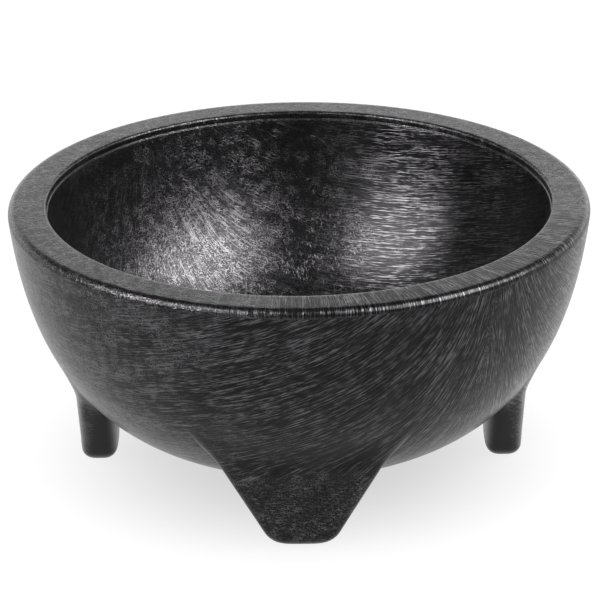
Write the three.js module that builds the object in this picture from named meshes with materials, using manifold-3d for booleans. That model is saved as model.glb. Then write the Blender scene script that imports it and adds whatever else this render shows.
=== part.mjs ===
// A moulded molcajete: a thick-walled round bowl standing on four splayed feet.
// Millimetres, +Z up. The origin is the centre of the four feet, on the ground.

import * as THREE from "three";
import Module from "manifold-3d";
import { mergeVertices } from "three/addons/utils/BufferGeometryUtils.js";

const wasm = await Module();
wasm.setup();

// Overall size.
const RIM_RADIUS = 101.6;
const HEIGHT = 97.2;
const SEGMENTS = 72;

// Outside of the bowl: a rounded rim, a drafted shoulder and a belly that turns under to a flat base.
const RIM_ROUND = 2.7;
const DRAFT = THREE.MathUtils.degToRad(6.3);
const SHOULDER_PULL = 51.3;
const BELLY_RADIUS = 75.6;
const BASE_RADIUS = 14.6;
const BASE_DEPTH = 89;
const OUTSIDE_STEPS = 16;

// Inside of the bowl: a short land below the rim, a fine step, then a smooth hollow.
const MOUTH_RADIUS = 88.2;
const MOUTH_ROUND = 1;
const LAND_DEPTH = 2.7;
const LAND_STEP = 0.4;
const HOLLOW_PULL = 44;
const HOLLOW_BELLY_RADIUS = 64;
const HOLLOW_FLAT_RADIUS = 12;
const HOLLOW_DEPTH = 76;
const HOLLOW_STEPS = 12;
const ROUND_STEPS = 3;

// A foot: a slab, rounded at its corners, that widens upwards across its face.
const FOOT_SIDES = ["front", "right", "back", "left"];
const FOOT_OUTER_RADIUS = 78.9;
const FOOT_INNER_RADIUS = 66;
const FOOT_OUTER_FLARE = 0.03;
const FOOT_INNER_FLARE = 0.02;
const FOOT_HALF_WIDTH = 10.4;
const FOOT_SIDE_FLARE = 0.585;
const FOOT_SQUARENESS = 3.7;
const FOOT_ROUND = 4.6;
const FOOT_ROUND_STEPS = 4;
const FOOT_TOP = 52;
const FOOT_SHANK_STEPS = 6;
const FOOT_SEGMENTS = 32;

// Clearance between a foot and the bowl above it.
const GAP = 0.3;

const BASE_Z = HEIGHT - BASE_DEPTH;
const HOLLOW_Z = HEIGHT - HOLLOW_DEPTH;

const charcoalPlastic = new THREE.MeshStandardMaterial({ color: 0x37373a, roughness: 0.5, metalness: 0 });

// The point `length` along a direction that leans `lean` from straight down, towards the axis.
function downFrom(start, lean, length) {
  return new THREE.Vector2(start.x - length * Math.sin(lean), start.y - length * Math.cos(lean));
}

// The outside of the wall from the base to the start of the rim's rounding.
function outsideCurve() {
  const roundCentre = new THREE.Vector2(RIM_RADIUS - RIM_ROUND, HEIGHT - RIM_ROUND);
  const lean = new THREE.Vector2(Math.cos(DRAFT), -Math.sin(DRAFT));
  const shoulder = roundCentre.addScaledVector(lean, RIM_ROUND);
  return new THREE.CubicBezierCurve(
    new THREE.Vector2(BASE_RADIUS, BASE_Z),
    new THREE.Vector2(BELLY_RADIUS, BASE_Z),
    downFrom(shoulder, DRAFT, SHOULDER_PULL),
    shoulder,
  );
}

// The hollow from the step below the rim down to its flat bottom.
function hollowCurve() {
  const start = new THREE.Vector2(MOUTH_RADIUS - LAND_STEP, HEIGHT - LAND_DEPTH - LAND_STEP);
  return new THREE.CubicBezierCurve(
    start,
    downFrom(start, DRAFT, HOLLOW_PULL),
    new THREE.Vector2(HOLLOW_BELLY_RADIUS, HOLLOW_Z),
    new THREE.Vector2(HOLLOW_FLAT_RADIUS, HOLLOW_Z),
  );
}

// A quarter turn of a rounded edge, from one angle to another about a centre.
function roundedEdge(x, y, radius, from, to) {
  return new THREE.EllipseCurve(x, y, radius, radius, from, to).getPoints(ROUND_STEPS);
}

// The bowl's section, from the axis under the base, up the outside, over the rim and down the hollow.
function bowlSection() {
  const right = -DRAFT;
  const top = Math.PI / 2;
  return [
    new THREE.Vector2(0, BASE_Z),
    ...outsideCurve().getPoints(OUTSIDE_STEPS).slice(0, -1),
    ...roundedEdge(RIM_RADIUS - RIM_ROUND, HEIGHT - RIM_ROUND, RIM_ROUND, right, top),
    ...roundedEdge(MOUTH_RADIUS + MOUTH_ROUND, HEIGHT - MOUTH_ROUND, MOUTH_ROUND, top, Math.PI),
    new THREE.Vector2(MOUTH_RADIUS, HEIGHT - LAND_DEPTH),
    ...hollowCurve().getPoints(HOLLOW_STEPS),
    new THREE.Vector2(0, HOLLOW_Z),
  ];
}

// The bowl's outside as a solid body, larger all over by the clearance.
function clearanceSection() {
  const curve = outsideCurve();
  const grown = [new THREE.Vector2(0, BASE_Z - GAP)];
  for (let step = 0; step <= OUTSIDE_STEPS; step += 1) {
    const share = step / OUTSIDE_STEPS;
    const tangent = curve.getTangent(share);
    const outward = new THREE.Vector2(tangent.y, -tangent.x);
    grown.push(curve.getPoint(share).addScaledVector(outward, GAP));
  }
  grown.push(new THREE.Vector2(0, HEIGHT));
  return grown;
}

// A body turned about the Z axis.
function turned(section) {
  return new THREE.LatheGeometry(section, SEGMENTS).rotateX(Math.PI / 2);
}

// The foot's outline at one height, drawn in at the bottom where its edge is rounded.
function footRing(height) {
  const drop = Math.max(0, 1 - height / FOOT_ROUND);
  const inset = FOOT_ROUND * (1 - Math.sqrt(1 - drop * drop));
  const outer = FOOT_OUTER_RADIUS + FOOT_OUTER_FLARE * height - inset;
  const inner = FOOT_INNER_RADIUS - FOOT_INNER_FLARE * height + inset;
  const halfWidth = FOOT_HALF_WIDTH + FOOT_SIDE_FLARE * height - inset;
  const ring = [];
  for (let step = 0; step < FOOT_SEGMENTS; step += 1) {
    const angle = (step / FOOT_SEGMENTS) * 2 * Math.PI;
    const across = squared(Math.cos(angle)) * halfWidth;
    const along = (outer + inner) / 2 + squared(Math.sin(angle)) * (outer - inner) / 2;
    ring.push(new THREE.Vector3(across, -along, height));
  }
  return ring.reverse();
}

// One coordinate of a squared circle.
function squared(value) {
  return Math.sign(value) * Math.abs(value) ** (2 / FOOT_SQUARENESS);
}

// The heights of a foot's rings, close together round its lower edge.
function footHeights() {
  const heights = [];
  for (let step = 0; step < FOOT_ROUND_STEPS; step += 1) {
    const angle = (step / FOOT_ROUND_STEPS) * Math.PI / 2;
    heights.push(FOOT_ROUND * (1 - Math.cos(angle)));
  }
  for (let step = 0; step <= FOOT_SHANK_STEPS; step += 1) {
    heights.push(FOOT_ROUND + (FOOT_TOP - FOOT_ROUND) * step / FOOT_SHANK_STEPS);
  }
  return heights;
}

// A closed body through a stack of rings, with a flat cap at each end.
function lofted(rings) {
  const count = rings[0].length;
  const points = rings.flat();
  const last = points.length - count;
  const faces = [];
  for (let level = 0; level < last; level += count) {
    for (let step = 0; step < count; step += 1) {
      const next = (step + 1) % count;
      faces.push(level + step, level + next, level + count + next);
      faces.push(level + step, level + count + next, level + count + step);
    }
  }
  for (let step = 1; step < count - 1; step += 1) {
    faces.push(0, step + 1, step);
    faces.push(last, last + step, last + step + 1);
  }
  return new THREE.BufferGeometry().setFromPoints(points).setIndex(faces);
}

function toSolid(geometry) {
  const bare = geometry.clone();
  bare.deleteAttribute("normal");
  bare.deleteAttribute("uv");
  const merged = mergeVertices(bare);
  return new wasm.Manifold(new wasm.Mesh({
    numProp: 3,
    vertProperties: new Float32Array(merged.attributes.position.array),
    triVerts: new Uint32Array(merged.index.array),
  }));
}

function toGeometry(solid) {
  const mesh = solid.getMesh();
  const geometry = new THREE.BufferGeometry();
  geometry.setAttribute("position", new THREE.BufferAttribute(mesh.vertProperties, 3));
  geometry.setIndex(new THREE.BufferAttribute(mesh.triVerts, 1));
  geometry.computeVertexNormals();
  return geometry;
}

function bowl() {
  const mesh = new THREE.Mesh(turned(bowlSection()), charcoalPlastic.clone());
  mesh.name = "bowl";
  return mesh;
}

// A foot cut to the bowl's underside, turned to its place round the axis.
function foot(side, quarter, clearance) {
  const slab = toSolid(lofted(footHeights().map(footRing)));
  const mesh = new THREE.Mesh(toGeometry(slab.subtract(clearance)), charcoalPlastic.clone());
  mesh.name = `foot_${side}`;
  mesh.rotation.z = quarter * Math.PI / 2;
  return mesh;
}

const molcajete = new THREE.Group();
molcajete.add(bowl());
const clearance = toSolid(turned(clearanceSection()));
FOOT_SIDES.forEach((side, quarter) => molcajete.add(foot(side, quarter, clearance)));

export default molcajete;
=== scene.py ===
"""A moulded molcajete in a plain studio: its bowl, its four feet, and the light it stands in.

Everything is in metres, in the frame of the CAD model: +Z up, with the front foot towards -Y.
"""

import math

import bpy
import numpy as np
from mathutils import Matrix, Vector


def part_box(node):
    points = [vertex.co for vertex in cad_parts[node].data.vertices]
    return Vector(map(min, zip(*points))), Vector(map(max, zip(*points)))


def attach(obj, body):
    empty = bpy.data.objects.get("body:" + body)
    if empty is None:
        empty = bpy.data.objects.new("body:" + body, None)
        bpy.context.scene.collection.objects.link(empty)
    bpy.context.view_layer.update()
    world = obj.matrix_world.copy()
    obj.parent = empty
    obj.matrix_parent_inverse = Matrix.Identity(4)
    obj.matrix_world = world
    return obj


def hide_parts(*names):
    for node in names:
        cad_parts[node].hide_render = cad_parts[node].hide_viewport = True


MM = 0.001

# The bowl's section, as the CAD has it. Its overall sizes come from the frame.
RIM_ROUND = 2.7 * MM
DRAFT = math.radians(6.3)
SHOULDER_PULL = 51.3 * MM
BELLY_RADIUS = 75.6 * MM
BASE_RADIUS = 14.6 * MM
MOUTH_RADIUS = 88.2 * MM
MOUTH_ROUND = 1.0 * MM
LAND_DEPTH = 2.7 * MM
LAND_STEP = 0.4 * MM
HOLLOW_PULL = 44 * MM
HOLLOW_BELLY_RADIUS = 64 * MM
HOLLOW_FLAT_RADIUS = 12 * MM
HOLLOW_DEPTH = 76 * MM
CENTRE_RADIUS = 0.5 * MM

# Points round the bowl, and along each part of its section.
BOWL_COLUMNS = 400
BASE_POINTS = 4
OUTSIDE_POINTS = 100
RIM_ROUND_POINTS = 14
RIM_TOP_POINTS = 7
MOUTH_POINTS = 8
LAND_POINTS = 3
STEP_POINTS = 5
HOLLOW_POINTS = 92
HOLLOW_FLAT_POINTS = 3

# A foot, as the CAD has it, and the fillet that joins it to the wall, which it then follows just inside.
FOOT_SIDES = ("front", "right", "back", "left")
FOOT_OUTER_RADIUS = 78.9 * MM
FOOT_INNER_RADIUS = 66 * MM
FOOT_OUTER_FLARE = 0.03
FOOT_INNER_FLARE = 0.02
FOOT_HALF_WIDTH = 10.4 * MM
FOOT_SIDE_FLARE = 0.585
FOOT_SQUARENESS = 3.7
FOOT_ROUND = 4.6 * MM
FOOT_TOP = 52 * MM
FOOT_FILLET = 5 * MM
FOOT_SINK = 0.05 * MM
FOOT_COLUMNS = 160
FOOT_ROUND_POINTS = 16
FOOT_SHANK_POINTS = 60

# The plastic went in at a gate on the rim, this far round from the front. It flowed away from
# there on both sides, and met again at the far side.
GATE_AZIMUTH = math.radians(39)
FAR_AZIMUTH = GATE_AZIMUTH - math.pi
FAN_CORE = 0.03
FAN_POINTS = 721
SIDE_SHIFT = 6.0

# How steeply the fibres climb towards the start of a fan: pull near it, sag a quarter turn away.
OUTSIDE_PULL = 0.3
OUTSIDE_SAG = 0.12
INSIDE_PULL = 0.4
INSIDE_SAG = -0.3

# How far the fibres on top of the rim come to lean over, and the angles from the gate where they do.
RIM_LEAN = math.radians(40)
RIM_LEAN_TURNS = (0.6, 2.0)

# How loosely the fibres lie near the start of a fan and away from it, and the angles between the two.
OUTSIDE_LOOSENESS = (0.1, 0.55)
OUTSIDE_LOOSE_TURNS = (0.7, 1.5)
RIM_LOOSENESS = (0.1, 0.9)
RIM_LOOSE_TURNS = (0.5, 1.1)
INSIDE_LOOSENESS = (0.65, 0.2)
INSIDE_LOOSE_TURNS = (0.7, 1.2)

# The radii where they become quite loose, under the belly and on the floor of the hollow.
BELLY_LOOSE_RADII = (70 * MM, 50 * MM)
FLOOR_LOOSE_RADII = (60 * MM, 45 * MM)

# The depth of a foot's outer face, how far the bowl's fibres run down it, and the share of fibres
# behind it and on it, kept low as painted shade under the bowl.
FOOT_FACE_DEPTH = 4 * MM
FOOT_RUN_DOWN = 12 * MM
FOOT_PLENTY_AND_PAINTED_SHADE = (0.05, 0.8)

# Fibres that lie along the flow: (length, width) in millimetres, and where in the noise they start.
FINE_FIBRES = (3.4, 0.29, 0.0)
LONG_FIBRES = (14.0, 0.5, 40.0)
FIBRE_BANDS = (34.0, 5.0, 80.0)
LEVEL_SHIFT = 7.3

# Loose fibres: (length, width), the directions they lie in as turns about X and Z, and their bend.
LOOSE_FIBRES = (3.0, 0.42)
LOOSE_TURNS = ((0.6, 0.2), (-0.7, 1.3), (0.3, 2.2), (1.4, 2.9))
BEND_SCALE = 0.12
BEND_SIZE = (1.5, 1.5, 1.5)

# The part of each noise that shows as fibres, and the part that the coarser noises run between.
LAID_SHOWS = (0.46, 0.64)
LOOSE_SHOWS = (0.54, 0.74)
COARSE_RANGE = (0.3, 0.7)
LONG_SHARE = 0.5
NOISE_ROUGHNESS = 0.55

# How loosely fibres lie changes a little in patches. The laid ones fade as the loose ones grow.
PATCH_SCALE = 0.06
PATCH_CHANGE = (-0.2, 0.2)
LAID_FADES = (0.5, 1.0)
LOOSE_GROWS = (0.1, 0.6)

# Fibres are more and less plentiful in bands and in clumps.
BAND_PLENTY = (0.7, 1.25)
CLUMP_SCALE = 0.28
CLUMP_PLENTY = (0.6, 1.4)
COARSE_DETAIL = 2.0

# The plastic between the fibres reflects by its refractive index, and the fibres by their colour.
PLASTIC_BLACK = (0.0010, 0.0009, 0.0011, 1.0)
PLASTIC_IOR = 1.23
PLASTIC_ROUGHNESS = 0.28
FIBRE_GREY = (0.093, 0.0895, 0.0935, 1.0)
FIBRE_EDGE = (0.0, 0.25)
FIBRE_METAL = (0.0, 0.97)
FIBRE_RELIEF = 0.032 * MM
GRAIN_SCALE = 1.9
GRAIN_RELIEF = 0.6

# The floor glows a little less close to the object: a painted shadow under it.
FLOOR_RADIUS = 4
FLOOR_SIDES = 96
PAINTED_SHADOW_REACH = (0.03, 0.11)
FLOOR_GLOW_WITH_PAINTED_SHADOW = (0.65, 1.0)
FLOOR_GREY = (0.02, 0.02, 0.02, 1.0)
WHITE = (1.0, 1.0, 1.0, 1.0)

# As a light, the world is bright behind and low down: the limits are of the y and z of a direction.
BEHIND = (-0.1, 0.5)
LOW_DOWN = (0.265, 0.39)
BACK_LIGHT = (2.4, 0.1)
FRONT_LIGHT = 0.02

SOFTBOX_DISTANCE = 1.0
SOFTBOX_HEIGHT = 1.2

CAMERA_DISTANCE = 1.0885
CAMERA_ELEVATION = 0.369
CAMERA_DIP = 0.4022
CAMERA_ROLL = -0.010
CAMERA_LENS = 186.7
CAMERA_SENSOR = 36


# ---------------------------------------------------------------- sections and skins

def bezier(points, count):
    """Points along a cubic Bezier curve."""
    a, b, c, d = (np.array(point) for point in points)
    t = np.linspace(0, 1, count)[:, None]
    return (1 - t) ** 3 * a + 3 * (1 - t) ** 2 * t * b + 3 * (1 - t) * t ** 2 * c + t ** 3 * d


def arc(centre, radius, start, end, count):
    """Points along an arc, from one angle to another."""
    angle = np.linspace(start, end, count)
    return np.column_stack((centre[0] + radius * np.cos(angle), centre[1] + radius * np.sin(angle)))


def line(start, end, count):
    """Points between two others, without those two."""
    return np.linspace(start, end, count + 2)[1:-1]


def down_the_draft(start, length):
    """The point that far down a wall with the draft."""
    return start[0] - length * math.sin(DRAFT), start[1] - length * math.cos(DRAFT)


def outside_section(rim_radius, top, base):
    """(radius, height) from close to the axis, under the base, up to the rim's rounding."""
    shoulder = (rim_radius - RIM_ROUND * (1 - math.cos(DRAFT)), top - RIM_ROUND * (1 + math.sin(DRAFT)))
    wall = bezier(((BASE_RADIUS, base), (BELLY_RADIUS, base),
                   down_the_draft(shoulder, SHOULDER_PULL), shoulder), OUTSIDE_POINTS)
    centre = (CENTRE_RADIUS, base)
    return np.vstack((centre, line(centre, wall[0], BASE_POINTS), wall))


def rim_section(rim_radius, top):
    """(radius, height) over the rim, from its outer rounding to the step inside the mouth."""
    outer_centre = (rim_radius - RIM_ROUND, top - RIM_ROUND)
    mouth_centre = (MOUTH_RADIUS + MOUTH_ROUND, top - MOUTH_ROUND)
    step_centre = (MOUTH_RADIUS, top - LAND_DEPTH - LAND_STEP)
    outer = arc(outer_centre, RIM_ROUND, -DRAFT, math.pi / 2, RIM_ROUND_POINTS)[1:]
    mouth = arc(mouth_centre, MOUTH_ROUND, math.pi / 2, math.pi, MOUTH_POINTS)
    step = arc(step_centre, LAND_STEP, math.pi / 2, math.pi, STEP_POINTS)[:-1]
    rim_top = line(outer[-1], mouth[0], RIM_TOP_POINTS)
    land = line(mouth[-1], (MOUTH_RADIUS, top - LAND_DEPTH), LAND_POINTS)
    return np.vstack((outer, rim_top, mouth, land, step))


def hollow_section(top):
    """(radius, height) from the step inside the mouth down to close to the axis."""
    start = (MOUTH_RADIUS - LAND_STEP, top - LAND_DEPTH - LAND_STEP)
    floor = top - HOLLOW_DEPTH
    wall = bezier((start, down_the_draft(start, HOLLOW_PULL),
                   (HOLLOW_BELLY_RADIUS, floor), (HOLLOW_FLAT_RADIUS, floor)), HOLLOW_POINTS)
    centre = (CENTRE_RADIUS, floor)
    return np.vstack((wall, line(wall[-1], centre, HOLLOW_FLAT_POINTS), centre))


def travel(section):
    """The distance along a section, from its first point to each of its points."""
    return np.concatenate(([0], np.cumsum(np.hypot(*np.diff(section, axis=0).T))))


def turned(section, azimuth):
    """The points of a section turned about Z: one ring for each of its points."""
    radius, height = section[:, :1], section[:, 1:]
    return np.stack((radius * np.sin(azimuth), -radius * np.cos(azimuth), height + 0 * azimuth), axis=2)


def skin(name, rings):
    """A smooth closed mesh over rings of points, capped at its first ring and its last."""
    levels, columns = rings.shape[:2]
    column = np.arange(columns)
    after = (column + 1) % columns
    level = (np.arange(levels - 1) * columns)[:, None]
    corners = (level + column, level + after, level + columns + after, level + columns + column)
    sides = np.stack(corners, axis=2).reshape(-1, 4).tolist()
    ends = [column[::-1].tolist(), (column + (levels - 1) * columns).tolist()]
    mesh = bpy.data.meshes.new(name)
    mesh.from_pydata(rings.reshape(-1, 3).tolist(), [], sides + ends)
    mesh.shade_smooth()
    piece = bpy.data.objects.new(name, mesh)
    bpy.context.scene.collection.objects.link(piece)
    return piece


# ---------------------------------------------------------------- run of the fibres

def turned_from(azimuth, start):
    """The angle from start, without its sign."""
    return np.abs((azimuth - start + math.pi) % (2 * math.pi) - math.pi)


def smooth_step(limits, value):
    """0 at the first limit, 1 at the second, and smooth between."""
    share = np.clip((value - limits[0]) / (limits[1] - limits[0]), 0, 1)
    return share * share * (3 - 2 * share)


def between(ends, share):
    """The first end at a share of 0, and the second at 1."""
    return ends[0] + (ends[1] - ends[0]) * share


def fan_line(turn, pull, sag):
    """The height of a fibre over the radius of the wall, at an angle from the start of its fan."""
    return pull * np.log(np.hypot(np.sin(turn), FAN_CORE)) - sag * np.cos(turn)


def fan_slope(turn, pull, sag):
    """How fast that height changes with the angle."""
    return pull * np.sin(turn) * np.cos(turn) / (np.sin(turn) ** 2 + FAN_CORE ** 2) + sag * np.sin(turn)


def fan_flow(turn, reach, radius, wide, pull, sag):
    """(place along the fibres, place across them, how crowded they are) on a wall.

    reach is the distance up the wall, and wide the radius where the fan has its stated slopes.
    """
    steps = np.linspace(0, math.pi, FAN_POINTS)
    level = np.cos(np.arctan(fan_slope(steps, pull, sag)))
    gone = np.concatenate(([0], np.cumsum((level[1:] + level[:-1]) / 2 * np.diff(steps))))
    slope = fan_slope(turn, pull, sag)
    along = wide * np.interp(turn, steps, gone) - reach * np.sin(np.arctan(slope))
    crowded = np.hypot(1, slope * wide / np.maximum(radius, BASE_RADIUS / 2))
    return along, reach + wide * fan_line(turn, pull, sag), crowded


def rim_flow(turn, radius, wide):
    """The same on top of the rim, where the fibres cross it and lean over towards the far side."""
    lean = np.tan(RIM_LEAN * smooth_step(RIM_LEAN_TURNS, turn))
    return radius - wide + 0 * turn, wide * turn + lean * (radius - wide), np.hypot(1, lean) + 0 * radius


def outside_looseness(from_gate, radius):
    """How loosely the fibres lie on the outside: more so away from the gate, and underneath."""
    on_wall = between(OUTSIDE_LOOSENESS, smooth_step(OUTSIDE_LOOSE_TURNS, from_gate))
    return np.maximum(on_wall, smooth_step(BELLY_LOOSE_RADII, radius))


def rim_looseness(from_gate, radius):
    """The same over the rim."""
    return between(RIM_LOOSENESS, smooth_step(RIM_LOOSE_TURNS, from_gate)) + 0 * radius


def hollow_looseness(from_far, radius):
    """The same in the hollow: less so away from the start of its fan, but more so on its floor."""
    on_wall = between(INSIDE_LOOSENESS, smooth_step(INSIDE_LOOSE_TURNS, from_far))
    return np.maximum(on_wall, smooth_step(FLOOR_LOOSE_RADII, radius))


def keep_flow(piece, azimuth, flow, **values):
    """Stores the run of the fibres at each vertex of a piece, and values such as how loose they lie."""
    along, across, crowded = (np.ravel(part) for part in flow)
    side = SIDE_SHIFT * np.sin(np.ravel(azimuth) - GATE_AZIMUTH)
    vectors = np.column_stack((along / MM, across / MM, side)).astype(np.float32)
    attribute = piece.data.attributes.new("flow", "FLOAT_VECTOR", "POINT")
    attribute.data.foreach_set("vector", vectors.ravel())
    for name, each in {"crowding": np.log2(crowded), **values}.items():
        attribute = piece.data.attributes.new(name, "FLOAT", "POINT")
        attribute.data.foreach_set("value", np.ravel(each).astype(np.float32))


# ---------------------------------------------------------------- pieces

def bowl_piece(outside, rim, hollow):
    """The bowl in one skin: up its outside, over the rim and down into the hollow."""
    azimuth = GATE_AZIMUTH + np.arange(BOWL_COLUMNS) * 2 * math.pi / BOWL_COLUMNS
    piece = skin("bowl_shell", turned(np.vstack((outside, rim, hollow)), azimuth))
    wide = rim[0][0]
    from_gate = turned_from(azimuth, GATE_AZIMUTH)
    from_far = turned_from(azimuth, FAR_AZIMUTH)
    out_reach = (travel(outside) - travel(outside)[-1])[:, None]
    in_reach = -travel(hollow)[:, None]
    flows = (
        fan_flow(from_gate, out_reach, outside[:, :1], wide, OUTSIDE_PULL, OUTSIDE_SAG),
        rim_flow(from_gate, rim[:, :1], wide),
        fan_flow(from_far, in_reach, hollow[:, :1], MOUTH_RADIUS, INSIDE_PULL, INSIDE_SAG),
    )
    flow = [np.vstack(parts) for parts in zip(*flows)]
    loose = np.vstack((
        outside_looseness(from_gate, outside[:, :1]),
        rim_looseness(from_gate, rim[:, :1]),
        hollow_looseness(from_far, hollow[:, :1]),
    ))
    keep_flow(piece, np.broadcast_to(azimuth, loose.shape), flow, loose=loose, plenty=np.ones(loose.shape))
    return piece


def squared(value):
    """One coordinate of a squared circle."""
    return np.sign(value) * np.abs(value) ** (2 / FOOT_SQUARENESS)


def foot_rings(quarter, outside):
    """The rings of a foot from its sole up, ending inside the wall of the bowl."""
    turn = np.arange(FOOT_COLUMNS) * 2 * math.pi / FOOT_COLUMNS
    edge = FOOT_ROUND * (1 - np.cos(np.linspace(0, math.pi / 2, FOOT_ROUND_POINTS)))
    shank = np.linspace(FOOT_ROUND, FOOT_TOP, FOOT_SHANK_POINTS)[1:]
    height = np.concatenate((edge, shank))[:, None]
    drop = np.maximum(0, 1 - height / FOOT_ROUND)
    inset = FOOT_ROUND * (1 - np.sqrt(1 - drop ** 2))
    outer = FOOT_OUTER_RADIUS + FOOT_OUTER_FLARE * height - inset
    inner = FOOT_INNER_RADIUS - FOOT_INNER_FLARE * height + inset
    half_width = FOOT_HALF_WIDTH + FOOT_SIDE_FLARE * height - inset
    x = squared(np.cos(turn)) * half_width
    y = squared(np.sin(turn)) * (outer - inner) / 2 - (outer + inner) / 2
    radius = np.hypot(x, y)
    wall = np.interp(height, outside[:, 1], outside[:, 0])
    overlap = np.maximum(0, FOOT_FILLET - np.abs(radius - wall))
    joined = np.maximum(radius, wall) + overlap ** 2 / (4 * FOOT_FILLET) - FOOT_SINK
    push = np.where(height > outside[0][1], joined / radius, 1)
    x, y = x * push, y * push
    angle = quarter * math.pi / 2
    return np.stack((x * math.cos(angle) - y * math.sin(angle),
                     x * math.sin(angle) + y * math.cos(angle), height + 0 * x), axis=2)


def foot_piece(side, quarter, outside):
    """A foot. The run of the bowl's fibres carries on down its outer face, and loosens lower down. It
    carries fewer fibres than the bowl, fewest behind its outer face, as painted shade under the bowl.
    """
    rings = foot_rings(quarter, outside)
    piece = skin(f"foot_{side}_shell", rings)
    x, y, z = np.moveaxis(rings, 2, 0)
    azimuth = np.arctan2(x, -y)
    from_gate = turned_from(azimuth, GATE_AZIMUTH)
    radius = np.hypot(x, y)
    reach = travel(outside) - travel(outside)[-1]
    join_height = np.interp(FOOT_OUTER_RADIUS, outside[:, 0], outside[:, 1])
    join_reach = np.interp(FOOT_OUTER_RADIUS, outside[:, 0], reach)
    reach = np.maximum(np.interp(z, outside[:, 1], reach), join_reach + z - join_height)
    flow = fan_flow(from_gate, reach, radius, outside[-1][0], OUTSIDE_PULL, OUTSIDE_SAG)
    outer_face = smooth_step((FOOT_OUTER_RADIUS - FOOT_FACE_DEPTH, FOOT_OUTER_RADIUS), radius)
    carried = outer_face * smooth_step((join_height - FOOT_RUN_DOWN, join_height), z)
    loose = 1 + carried * (outside_looseness(from_gate, radius) - 1)
    # Painted shade: fewer fibres on the foot than on the bowl, fewest behind its outer face.
    keep_flow(piece, azimuth, flow, loose=loose, plenty=between(FOOT_PLENTY_AND_PAINTED_SHADE, outer_face))
    return piece


# ---------------------------------------------------------------- materials

class Graph:
    """Short forms for building the nodes of a material or the world."""

    def __init__(self, owner):
        owner.use_nodes = True
        self.tree = owner.node_tree
        self.tree.nodes.clear()

    def add(self, kind, inputs, **settings):
        """A node, its settings, and its inputs: sockets to link from, or plain values."""
        node = self.tree.nodes.new(kind)
        for key, value in settings.items():
            setattr(node, key, value)
        for key, value in inputs.items():
            if isinstance(value, bpy.types.NodeSocket):
                self.tree.links.new(value, node.inputs[key])
            else:
                node.inputs[key].default_value = value
        return node

    def math(self, operation, *values):
        return self.add("ShaderNodeMath", dict(enumerate(values)), operation=operation).outputs[0]

    def ramp(self, value, limits, ends=(0.0, 1.0)):
        """The first end at the first limit, the second at the second, and smooth between."""
        inputs = {0: value, 1: limits[0], 2: limits[1], 3: ends[0], 4: ends[1]}
        return self.add("ShaderNodeMapRange", inputs, interpolation_type="SMOOTHSTEP").outputs[0]

    def mix(self, share, first, second):
        return self.add("ShaderNodeMix", {0: share, 2: first, 3: second}, data_type="FLOAT").outputs[0]

    def mix_colour(self, share, first, second):
        return self.add("ShaderNodeMix", {0: share, 6: first, 7: second}, data_type="RGBA").outputs[2]

    def vector(self, x, y, z):
        return self.add("ShaderNodeCombineXYZ", {0: x, 1: y, 2: z}).outputs[0]

    def parts(self, vector):
        return self.add("ShaderNodeSeparateXYZ", {0: vector}).outputs

    def turned(self, vector, angles):
        return self.add("ShaderNodeMapping", {"Vector": vector, "Rotation": angles}).outputs[0]

    def scaled(self, vector, factors):
        return self.add("ShaderNodeVectorMath", {0: vector, 1: factors}, operation="MULTIPLY").outputs[0]

    def place(self):
        """The place on the piece, in metres."""
        return self.add("ShaderNodeTexCoord", {}).outputs["Object"]

    def kept(self, name):
        """A value kept at the vertices."""
        return self.add("ShaderNodeAttribute", {}, attribute_name=name).outputs["Fac"]

    def noise(self, vector, scale=1.0, detail=1.0):
        """Noise around a half, as a value and as a colour."""
        inputs = {"Vector": vector, "Scale": scale, "Detail": detail, "Roughness": NOISE_ROUGHNESS}
        return self.add("ShaderNodeTexNoise", inputs).outputs


def drawn_noise(graph, flow, crowding, length, width, start):
    """Noise drawn out along the fibres. Where they crowd it doubles its width, in smooth steps."""
    along, across, side = graph.parts(flow)
    level = graph.math("FLOOR", crowding)
    layers = []
    for step in (0.0, 1.0):
        this_level = graph.math("ADD", level, step)
        spread = graph.math("DIVIDE", across, graph.math("POWER", 2.0, this_level))
        depth = graph.math("ADD", side, graph.math("MULTIPLY_ADD", this_level, LEVEL_SHIFT, start))
        place = graph.scaled(graph.vector(along, spread, depth), (1 / length, 1 / width, 1.0))
        layers.append(graph.noise(place)[0])
    share = graph.ramp(graph.math("FRACT", crowding), (0.0, 1.0))
    return graph.mix(share, *layers)


def loose_fibres(graph, place, length, width):
    """Short fibres that lie in several directions, and bend."""
    bend = graph.scaled(graph.noise(place, BEND_SCALE)[1], BEND_SIZE)
    curved = graph.add("ShaderNodeVectorMath", {0: place, 1: bend}, operation="ADD").outputs[0]
    found = 0.0
    for lean, turn in LOOSE_TURNS:
        laid = graph.scaled(graph.turned(curved, (lean, 0.0, turn)), (1 / length, 1 / width, 1 / width))
        found = graph.math("MAXIMUM", found, graph.noise(laid)[0])
    return found


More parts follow.
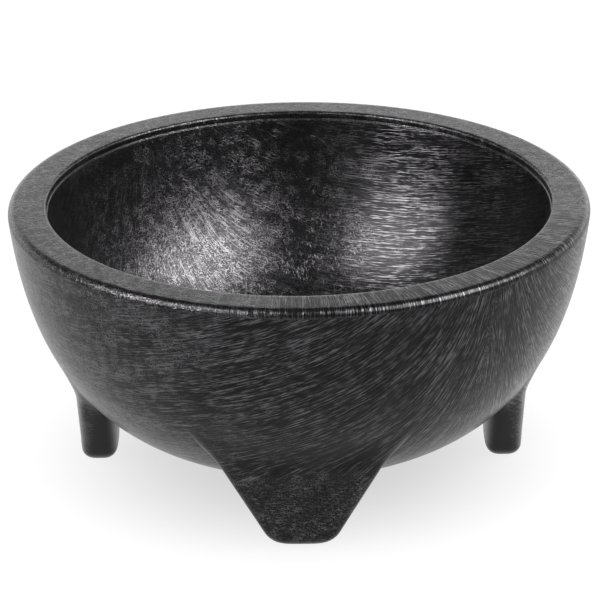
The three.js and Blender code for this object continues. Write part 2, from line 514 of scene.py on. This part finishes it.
def fibre_amount(graph, place):
    """How much of a fibre shows at a place in millimetres: 0 beside it, and about 1 in its middle."""
    flow = graph.add("ShaderNodeAttribute", {}, attribute_name="flow").outputs["Vector"]
    crowding = graph.kept("crowding")
    fine = drawn_noise(graph, flow, crowding, *FINE_FIBRES)
    long = drawn_noise(graph, flow, crowding, *LONG_FIBRES)
    band = drawn_noise(graph, flow, crowding, *FIBRE_BANDS)
    patch = graph.noise(place, PATCH_SCALE, COARSE_DETAIL)[0]
    clump = graph.noise(place, CLUMP_SCALE, COARSE_DETAIL)[0]

    looseness = graph.math("ADD", graph.kept("loose"), graph.ramp(patch, COARSE_RANGE, PATCH_CHANGE))
    laid = graph.ramp(graph.mix(LONG_SHARE, fine, long), LAID_SHOWS)
    laid = graph.math("MULTIPLY", laid, graph.ramp(looseness, LAID_FADES, (1.0, 0.0)))
    scattered = graph.ramp(loose_fibres(graph, place, *LOOSE_FIBRES), LOOSE_SHOWS)
    scattered = graph.math("MULTIPLY", scattered, graph.ramp(looseness, LOOSE_GROWS))
    fibres = graph.math("MAXIMUM", laid, scattered)

    in_bands = graph.ramp(band, COARSE_RANGE, BAND_PLENTY)
    in_clumps = graph.ramp(clump, COARSE_RANGE, CLUMP_PLENTY)
    # The kept share holds painted shade: the feet carry fewer fibres, so they look darker.
    plenty = graph.math("MULTIPLY", graph.math("MULTIPLY", in_bands, in_clumps), graph.kept("plenty"))
    return graph.math("MULTIPLY", fibres, plenty)


def fibre_plastic():
    """Black plastic full of pale fibres, which lie the way it flowed into the mould."""
    material = bpy.data.materials.new("fibre_plastic")
    graph = Graph(material)
    place = graph.scaled(graph.place(), (1 / MM, 1 / MM, 1 / MM))
    fibres = fibre_amount(graph, place)
    grain = graph.noise(place, GRAIN_SCALE)[0]
    height = graph.math("MULTIPLY_ADD", grain, GRAIN_RELIEF, fibres)
    bump = graph.add("ShaderNodeBump", {"Height": height, "Strength": 1.0, "Distance": FIBRE_RELIEF})
    surface = graph.add("ShaderNodeBsdfPrincipled", {
        "Base Color": graph.mix_colour(fibres, PLASTIC_BLACK, FIBRE_GREY),
        "Metallic": graph.ramp(fibres, FIBRE_EDGE, FIBRE_METAL),
        "Roughness": PLASTIC_ROUGHNESS,
        "IOR": PLASTIC_IOR,
        "Normal": bump.outputs[0],
    })
    graph.add("ShaderNodeOutputMaterial", {"Surface": surface.outputs[0]})
    return material


def floor_material():
    """A pale floor that glows evenly enough to leave no edge, but less close to the object: a painted
    shadow.
    """
    material = bpy.data.materials.new("floor")
    graph = Graph(material)
    away = graph.add("ShaderNodeVectorMath", {0: graph.place()}, operation="LENGTH").outputs["Value"]
    # Painted shadow: the glow drops close to the object, so the feet and the lower bowl also reflect it
    # darker.
    strength = graph.ramp(away, PAINTED_SHADOW_REACH, FLOOR_GLOW_WITH_PAINTED_SHADOW)
    glow = graph.add("ShaderNodeEmission", {"Color": WHITE, "Strength": strength})
    matt = graph.add("ShaderNodeBsdfDiffuse", {"Color": FLOOR_GREY})
    both = graph.add("ShaderNodeAddShader", {0: glow.outputs[0], 1: matt.outputs[0]})
    graph.add("ShaderNodeOutputMaterial", {"Surface": both.outputs[0]})
    return material


# ---------------------------------------------------------------- studio

def floor_piece():
    """A round floor that reaches well past the object."""
    mesh = bpy.data.meshes.new("floor")
    angle = np.arange(FLOOR_SIDES) * 2 * math.pi / FLOOR_SIDES
    points = np.column_stack((FLOOR_RADIUS * np.cos(angle), FLOOR_RADIUS * np.sin(angle), 0 * angle))
    mesh.from_pydata(points.tolist(), [], [list(range(FLOOR_SIDES))])
    floor = bpy.data.objects.new("floor", mesh)
    bpy.context.scene.collection.objects.link(floor)
    floor.data.materials.append(floor_material())


def studio_world():
    """White all round to the camera. For light: bright low down behind, and dark overhead and in front."""
    world = bpy.data.worlds.new("studio")
    bpy.context.scene.world = world
    graph = Graph(world)
    sight = graph.add("ShaderNodeTexCoord", {}).outputs["Generated"]
    y, z = graph.parts(sight)[1:]
    strength = graph.mix(graph.ramp(y, BEHIND), FRONT_LIGHT, graph.ramp(z, LOW_DOWN, BACK_LIGHT))
    light = graph.add("ShaderNodeBackground", {"Color": WHITE, "Strength": strength})
    white = graph.add("ShaderNodeBackground", {"Color": WHITE, "Strength": 1.0})
    seen = graph.add("ShaderNodeLightPath", {}).outputs["Is Camera Ray"]
    either = graph.add("ShaderNodeMixShader", {0: seen, 1: light.outputs[0], 2: white.outputs[0]})
    graph.add("ShaderNodeOutputWorld", {"Surface": either.outputs[0]})


def softbox(name, azimuth, base, width, radiance):
    """An upright soft light that faces the object from above its base, azimuth round from the front."""
    angle = math.radians(azimuth)
    away = Vector((math.sin(angle), -math.cos(angle), 0))
    data = bpy.data.lights.new(name, "AREA")
    data.shape = "RECTANGLE"
    data.size = width
    data.size_y = SOFTBOX_HEIGHT
    data.energy = radiance * math.pi * width * SOFTBOX_HEIGHT
    light = bpy.data.objects.new(name, data)
    light.location = away * SOFTBOX_DISTANCE + Vector((0, 0, base + SOFTBOX_HEIGHT / 2))
    light.rotation_euler = away.to_track_quat("Z", "Y").to_euler()
    light.visible_camera = False
    bpy.context.scene.collection.objects.link(light)


def camera(top):
    """The view of the photograph: from the front, looking down at the rim from that distance."""
    data = bpy.data.cameras.new("camera")
    data.lens = CAMERA_LENS
    data.sensor_width = CAMERA_SENSOR
    item = bpy.data.objects.new("camera", data)
    item.location = (0, -CAMERA_DISTANCE * math.cos(CAMERA_ELEVATION),
                     top + CAMERA_DISTANCE * math.sin(CAMERA_ELEVATION))
    sight = Vector((0, math.cos(CAMERA_DIP), -math.sin(CAMERA_DIP)))
    turn = sight.to_track_quat("-Z", "Y").to_matrix().to_4x4()
    item.rotation_euler = (turn @ Matrix.Rotation(CAMERA_ROLL, 4, "Z")).to_euler()
    bpy.context.scene.collection.objects.link(item)
    bpy.context.scene.camera = item


# ---------------------------------------------------------------- scene

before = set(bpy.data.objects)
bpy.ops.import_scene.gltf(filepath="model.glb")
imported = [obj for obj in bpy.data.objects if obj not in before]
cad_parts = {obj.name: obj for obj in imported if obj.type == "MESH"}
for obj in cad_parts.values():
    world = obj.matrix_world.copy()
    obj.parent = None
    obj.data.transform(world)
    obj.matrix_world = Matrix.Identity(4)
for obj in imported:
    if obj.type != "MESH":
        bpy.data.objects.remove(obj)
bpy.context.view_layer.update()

low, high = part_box("bowl")
outside = outside_section(high.x, high.z, low.z)
pieces = {"bowl": bowl_piece(outside, rim_section(high.x, high.z), hollow_section(high.z))}
for quarter, side in enumerate(FOOT_SIDES):
    pieces[f"foot_{side}"] = foot_piece(side, quarter, outside)

plastic = fibre_plastic()
for node, piece in pieces.items():
    piece.data.materials.append(plastic)
    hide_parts(node)
    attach(piece, "root")

floor_piece()
studio_world()
softbox("softbox_right", azimuth=67, base=0.53, width=1.25, radiance=15.5)
softbox("softbox_left", azimuth=-58, base=0.3, width=0.8, radiance=13.5)
camera(high.z)
bpy.context.scene.view_settings.view_transform = "Standard"
